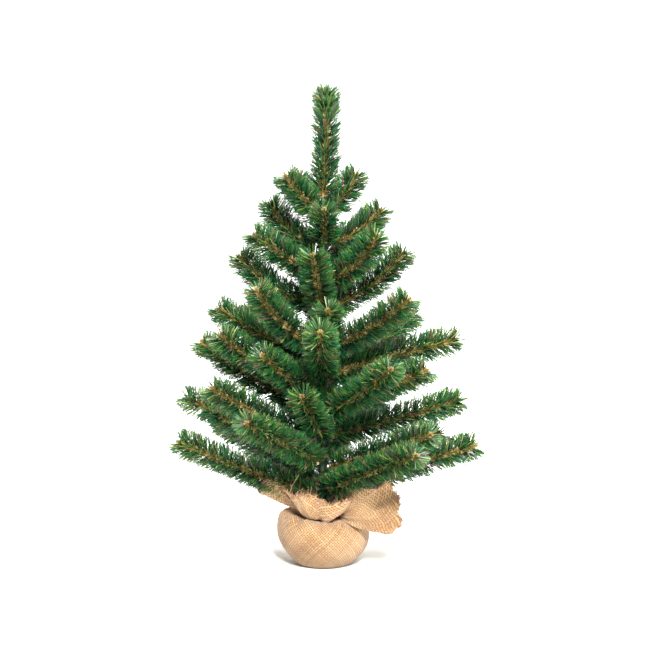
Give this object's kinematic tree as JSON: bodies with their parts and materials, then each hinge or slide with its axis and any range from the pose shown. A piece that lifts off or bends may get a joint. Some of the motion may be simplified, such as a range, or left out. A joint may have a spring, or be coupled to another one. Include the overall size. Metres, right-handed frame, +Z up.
{
  "type": "artificial tabletop tree",
  "caption": "Small artificial tree: bendable brush branches and an upright leader on a steel pole, in a weighted pot wrapped in tied burlap.",
  "frame": {"origin": "centre of the flat underside of the wrapped pot, on the pole's axis", "axes": "+Z up along the pole, -Y towards the side seen from the front, +X to the viewer's right"},
  "size_m": [0.3941, 0.3291, 0.6116],
  "materials": {
    "film_needles": "satin",
    "woven_burlap": "matte",
    "jute_twine": "matte",
    "pot_plastic": "matte",
    "cement": "matte",
    "pole_steel": "satin",
    "binding_wire": "satin"
  },
  "bodies": {
    "stand": {"base_pot": "pot_plastic", "base_weight": "cement", "trunk_pole": "pole_steel", "burlap_wrap": "woven_burlap", "twine_tie": "jute_twine", "wire_wrap_1": "binding_wire", "wire_wrap_2": "binding_wire", "wire_wrap_3": "binding_wire", "wire_wrap_4": "binding_wire", "wire_wrap_5": "binding_wire", "wire_wrap_6": "binding_wire", "wire_wrap_7": "binding_wire", "wire_wrap_8": "binding_wire", "wire_wrap_9": "binding_wire", "wire_wrap_10": "binding_wire"},
    "leader": {"leader": "film_needles"},
    "branch_1_1": {"branch_1_1": "film_needles"},
    "branch_1_2": {"branch_1_2": "film_needles"},
    "branch_1_3": {"branch_1_3": "film_needles"},
    "branch_1_4": {"branch_1_4": "film_needles"},
    "branch_1_5": {"branch_1_5": "film_needles"},
    "branch_2_1": {"branch_2_1": "film_needles"},
    "branch_2_2": {"branch_2_2": "film_needles"},
    "branch_2_3": {"branch_2_3": "film_needles"},
    "branch_2_4": {"branch_2_4": "film_needles"},
    "branch_3_1": {"branch_3_1": "film_needles"},
    "branch_3_2": {"branch_3_2": "film_needles"},
    "branch_3_3": {"branch_3_3": "film_needles"},
    "branch_3_4": {"branch_3_4": "film_needles"},
    "branch_3_5": {"branch_3_5": "film_needles"},
    "branch_4_1": {"branch_4_1": "film_needles"},
    "branch_4_2": {"branch_4_2": "film_needles"},
    "branch_4_3": {"branch_4_3": "film_needles"},
    "branch_4_4": {"branch_4_4": "film_needles"},
    "branch_4_5": {"branch_4_5": "film_needles"},
    "branch_5_1": {"branch_5_1": "film_needles"},
    "branch_5_2": {"branch_5_2": "film_needles"},
    "branch_5_3": {"branch_5_3": "film_needles"},
    "branch_5_4": {"branch_5_4": "film_needles"},
    "branch_5_5": {"branch_5_5": "film_needles"},
    "branch_6_1": {"branch_6_1": "film_needles"},
    "branch_6_2": {"branch_6_2": "film_needles"},
    "branch_6_3": {"branch_6_3": "film_needles"},
    "branch_6_4": {"branch_6_4": "film_needles"},
    "branch_6_5": {"branch_6_5": "film_needles"},
    "branch_7_1": {"branch_7_1": "film_needles"},
    "branch_7_2": {"branch_7_2": "film_needles"},
    "branch_7_3": {"branch_7_3": "film_needles"},
    "branch_7_4": {"branch_7_4": "film_needles"},
    "branch_8_1": {"branch_8_1": "film_needles"},
    "branch_8_2": {"branch_8_2": "film_needles"},
    "branch_8_3": {"branch_8_3": "film_needles"},
    "branch_8_4": {"branch_8_4": "film_needles"},
    "branch_9_1": {"branch_9_1": "film_needles"},
    "branch_9_2": {"branch_9_2": "film_needles"},
    "branch_9_3": {"branch_9_3": "film_needles"},
    "branch_10_1": {"branch_10_1": "film_needles"},
    "branch_10_2": {"branch_10_2": "film_needles"},
    "branch_10_3": {"branch_10_3": "film_needles"}
  },
  "joints": [
    {"name": "bend_1_1", "type": "hinge", "parent": "stand", "child": "branch_1_1", "pos_m": [0.00647, 0.00436, 0.0967], "axis": [0.5592, -0.829, 0], "range_deg": [-6, 15]},
    {"name": "bend_1_2", "type": "hinge", "parent": "stand", "child": "branch_1_2", "pos_m": [0.0078, 0, 0.0887], "axis": [0, -1, 0], "range_deg": [-6, 15]},
    {"name": "bend_1_3", "type": "hinge", "parent": "stand", "child": "branch_1_3", "pos_m": [-0.00598, 0.00501, 0.0967], "axis": [0.6428, 0.766, 0], "range_deg": [-6, 15]},
    {"name": "bend_1_4", "type": "hinge", "parent": "stand", "child": "branch_1_4", "pos_m": [-0.00772, -0.00109, 0.0887], "axis": [-0.1392, 0.9903, 0], "range_deg": [-6, 15]},
    {"name": "bend_1_5", "type": "hinge", "parent": "stand", "child": "branch_1_5", "pos_m": [0.00501, -0.00598, 0.0967], "axis": [-0.766, -0.6428, 0], "range_deg": [-6, 15]},
    {"name": "bend_2_1", "type": "hinge", "parent": "stand", "child": "branch_2_1", "pos_m": [0.00202, 0.00753, 0.1327], "axis": [0.9659, -0.2588, 0], "range_deg": [-15, 15]},
    {"name": "bend_2_2", "type": "hinge", "parent": "stand", "child": "branch_2_2", "pos_m": [-0.00723, 0.00292, 0.1247], "axis": [0.3746, 0.9272, 0], "range_deg": [-15, 15]},
    {"name": "bend_2_3", "type": "hinge", "parent": "stand", "child": "branch_2_3", "pos_m": [-0.00413, -0.00662, 0.1327], "axis": [-0.848, 0.5299, 0], "range_deg": [-15, 15]},
    {"name": "bend_2_4", "type": "hinge", "parent": "stand", "child": "branch_2_4", "pos_m": [0.00701, -0.00342, 0.1247], "axis": [-0.4384, -0.8988, 0], "range_deg": [-15, 15]},
    {"name": "bend_3_1", "type": "hinge", "parent": "stand", "child": "branch_3_1", "pos_m": [0.00763, 0.00162, 0.1667], "axis": [0.2079, -0.9781, 0], "range_deg": [-15, 15]},
    {"name": "bend_3_2", "type": "hinge", "parent": "stand", "child": "branch_3_2", "pos_m": [0.00501, 0.00598, 0.1587], "axis": [0.766, -0.6428, 0], "range_deg": [-15, 15]},
    {"name": "bend_3_3", "type": "hinge", "parent": "stand", "child": "branch_3_3", "pos_m": [-0.00366, 0.00689, 0.1667], "axis": [0.8829, 0.4695, 0], "range_deg": [-15, 15]},
    {"name": "bend_3_4", "type": "hinge", "parent": "stand", "child": "branch_3_4", "pos_m": [-0.00647, -0.00436, 0.1587], "axis": [-0.5592, 0.829, 0], "range_deg": [-15, 15]},
    {"name": "bend_3_5", "type": "hinge", "parent": "stand", "child": "branch_3_5", "pos_m": [-0.00241, -0.00742, 0.1667], "axis": [-0.9511, 0.309, 0], "range_deg": [-15, 15]},
    {"name": "bend_4_1", "type": "hinge", "parent": "stand", "child": "branch_4_1", "pos_m": [0, 0.0078, 0.2077], "axis": [1, 0, 0], "range_deg": [-15, 15]},
    {"name": "bend_4_2", "type": "hinge", "parent": "stand", "child": "branch_4_2", "pos_m": [-0.00779, 0.00027, 0.1997], "axis": [0.0349, 0.9994, 0], "range_deg": [-15, 15]},
    {"name": "bend_4_3", "type": "hinge", "parent": "stand", "child": "branch_4_3", "pos_m": [-0.0048, -0.00615, 0.2077], "axis": [-0.788, 0.6157, 0], "range_deg": [-15, 15]},
    {"name": "bend_4_4", "type": "hinge", "parent": "stand", "child": "branch_4_4", "pos_m": [0.00425, -0.00654, 0.1997], "axis": [-0.8387, -0.5446, 0], "range_deg": [-15, 15]},
    {"name": "bend_4_5", "type": "hinge", "parent": "stand", "child": "branch_4_5", "pos_m": [0.00689, -0.00366, 0.2077], "axis": [-0.4695, -0.8829, 0], "range_deg": [-15, 15]},
    {"name": "bend_5_1", "type": "hinge", "parent": "stand", "child": "branch_5_1", "pos_m": [0.00778, -0.00054, 0.2457], "axis": [-0.0698, -0.9976, 0], "range_deg": [-15, 15]},
    {"name": "bend_5_2", "type": "hinge", "parent": "stand", "child": "branch_5_2", "pos_m": [0.00598, 0.00501, 0.2377], "axis": [0.6428, -0.766, 0], "range_deg": [-15, 15]},
    {"name": "bend_5_3", "type": "hinge", "parent": "stand", "child": "branch_5_3", "pos_m": [-0.00551, 0.00551, 0.2457], "axis": [0.7071, 0.7071, 0], "range_deg": [-15, 15]},
    {"name": "bend_5_4", "type": "hinge", "parent": "stand", "child": "branch_5_4", "pos_m": [-0.00718, -0.00305, 0.2377], "axis": [-0.3907, 0.9205, 0], "range_deg": [-15, 15]},
    {"name": "bend_5_5", "type": "hinge", "parent": "stand", "child": "branch_5_5", "pos_m": [-0.00014, -0.0078, 0.2457], "axis": [-0.9998, 0.0175, 0], "range_deg": [-15, 15]},
    {"name": "bend_6_1", "type": "hinge", "parent": "stand", "child": "branch_6_1", "pos_m": [-0.00068, 0.00777, 0.2807], "axis": [0.9962, 0.0872, 0], "range_deg": [-15, 15]},
    {"name": "bend_6_2", "type": "hinge", "parent": "stand", "child": "branch_6_2", "pos_m": [-0.00733, 0.00267, 0.2727], "axis": [0.342, 0.9397, 0], "range_deg": [-15, 15]},
    {"name": "bend_6_3", "type": "hinge", "parent": "stand", "child": "branch_6_3", "pos_m": [-0.00532, -0.00571, 0.2807], "axis": [-0.7314, 0.682, 0], "range_deg": [-15, 15]},
    {"name": "bend_6_4", "type": "hinge", "parent": "stand", "child": "branch_6_4", "pos_m": [0.00054, -0.00778, 0.2727], "axis": [-0.9976, -0.0698, 0], "range_deg": [-15, 15]},
    {"name": "bend_6_5", "type": "hinge", "parent": "stand", "child": "branch_6_5", "pos_m": [0.00654, -0.00425, 0.2807], "axis": [-0.5446, -0.8387, 0], "range_deg": [-15, 15]},
    {"name": "bend_7_1", "type": "hinge", "parent": "stand", "child": "branch_7_1", "pos_m": [0.00772, 0.00109, 0.3307], "axis": [0.1392, -0.9903, 0], "range_deg": [-15, 15]},
    {"name": "bend_7_2", "type": "hinge", "parent": "stand", "child": "branch_7_2", "pos_m": [0.00202, 0.00753, 0.3227], "axis": [0.9659, -0.2588, 0], "range_deg": [-15, 15]},
    {"name": "bend_7_3", "type": "hinge", "parent": "stand", "child": "branch_7_3", "pos_m": [-0.00768, 0.00135, 0.3307], "axis": [0.1736, 0.9848, 0], "range_deg": [-15, 15]},
    {"name": "bend_7_4", "type": "hinge", "parent": "stand", "child": "branch_7_4", "pos_m": [-0.00162, -0.00763, 0.3227], "axis": [-0.9781, 0.2079, 0], "range_deg": [-15, 15]},
    {"name": "bend_8_1", "type": "hinge", "parent": "stand", "child": "branch_8_1", "pos_m": [0.00551, 0.00551, 0.3727], "axis": [0.7071, -0.7071, 0], "range_deg": [-15, 15]},
    {"name": "bend_8_2", "type": "hinge", "parent": "stand", "child": "branch_8_2", "pos_m": [-0.00501, 0.00598, 0.3647], "axis": [0.766, 0.6428, 0], "range_deg": [-15, 15]},
    {"name": "bend_8_3", "type": "hinge", "parent": "stand", "child": "branch_8_3", "pos_m": [-0.00763, -0.00162, 0.3727], "axis": [-0.2079, 0.9781, 0], "range_deg": [-15, 15]},
    {"name": "bend_8_4", "type": "hinge", "parent": "stand", "child": "branch_8_4", "pos_m": [0.0058, -0.00522, 0.3647], "axis": [-0.6691, -0.7431, 0], "range_deg": [-15, 15]},
    {"name": "bend_9_1", "type": "hinge", "parent": "stand", "child": "branch_9_1", "pos_m": [0.00772, 0.00109, 0.4107], "axis": [0.1392, -0.9903, 0], "range_deg": [-15, 15]},
    {"name": "bend_9_2", "type": "hinge", "parent": "stand", "child": "branch_9_2", "pos_m": [-0.00707, 0.0033, 0.4027], "axis": [0.4226, 0.9063, 0], "range_deg": [-15, 15]},
    {"name": "bend_9_3", "type": "hinge", "parent": "stand", "child": "branch_9_3", "pos_m": [0.00027, -0.00779, 0.4107], "axis": [-0.9994, -0.0349, 0], "range_deg": [-15, 15]},
    {"name": "bend_10_1", "type": "hinge", "parent": "stand", "child": "branch_10_1", "pos_m": [0.00662, 0.00413, 0.4517], "axis": [0.5299, -0.848, 0], "range_deg": [-15, 15]},
    {"name": "bend_10_2", "type": "hinge", "parent": "stand", "child": "branch_10_2", "pos_m": [-0.0048, 0.00615, 0.4437], "axis": [0.788, 0.6157, 0], "range_deg": [-15, 15]},
    {"name": "bend_10_3", "type": "hinge", "parent": "stand", "child": "branch_10_3", "pos_m": [-0.00647, -0.00436, 0.4517], "axis": [-0.5592, 0.829, 0], "range_deg": [-15, 15]},
    {"name": "bend_leader", "type": "hinge", "parent": "stand", "child": "leader", "pos_m": [0, 0, 0.469], "axis": [1, 0, 0], "range_deg": [-20, 20]}
  ]
}
